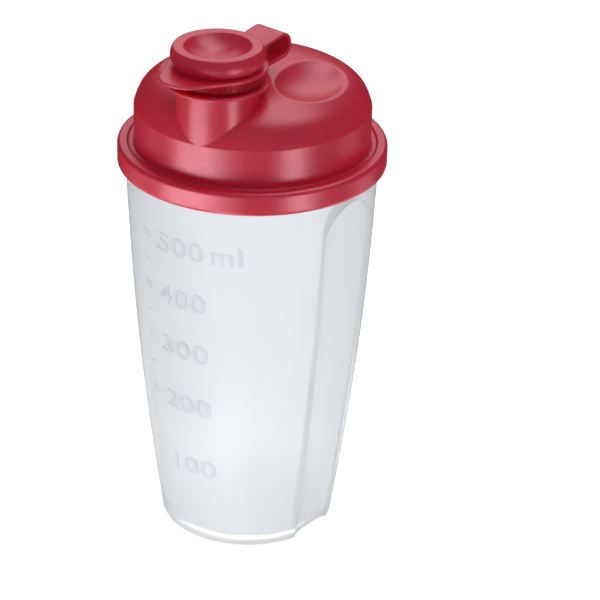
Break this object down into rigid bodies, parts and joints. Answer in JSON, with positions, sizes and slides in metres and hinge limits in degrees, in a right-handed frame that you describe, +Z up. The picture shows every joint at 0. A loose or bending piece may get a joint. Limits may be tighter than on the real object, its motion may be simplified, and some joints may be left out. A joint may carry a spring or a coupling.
{
  "type": "salad dressing shaker bottle",
  "caption": "Tapered shaker bottle with a volume scale and grip hollows, and a press-on lid whose spout is closed by a cap on a strap, for mixing and pouring dressing.",
  "frame": {"origin": "centre of the beaker's foot, on the plane it stands on", "axes": "+Z up along the beaker's axis, -Y towards the spout's side, +X to the right as seen from the spout's side"},
  "size_m": [0.0942, 0.0979, 0.1922],
  "materials": {
    "beaker_plastic": "frosted translucent",
    "sieve_plastic": "satin natural white",
    "seal_rubber": "soft translucent grey",
    "lid_plastic": "pearl red with fine sparkle",
    "closure_plastic": "pearl red with fine sparkle"
  },
  "bodies": {
    "bottle": {"beaker": "beaker_plastic"},
    "sieve": {"mixing_sieve": "sieve_plastic"},
    "lid": {"lid": "lid_plastic", "seal_ring": "seal_rubber"},
    "ring": {"retaining_ring": "closure_plastic", "hinge_strap": "closure_plastic"},
    "cap": {"pour_cap": "closure_plastic"}
  },
  "joints": [
    {"name": "sieve_lift", "type": "slide", "parent": "bottle", "child": "sieve", "axis": [0, 0, 1], "range_m": [0, 0.06]},
    {"name": "lid_lift", "type": "slide", "parent": "sieve", "child": "lid", "axis": [0, 0, 1], "range_m": [0, 0.06]},
    {"name": "closure_turn", "type": "hinge", "parent": "lid", "child": "ring", "pos_m": [0, -0.02727, 0.1795], "axis": [0, 0, 1], "continuous": true},
    {"name": "cap_flip", "type": "hinge", "parent": "ring", "child": "cap", "pos_m": [0.00751, 0.00074, 0.1825], "axis": [-0.9659, 0.2588, 0], "range_deg": [0, 150], "deforming": ["hinge_strap"]}
  ]
}
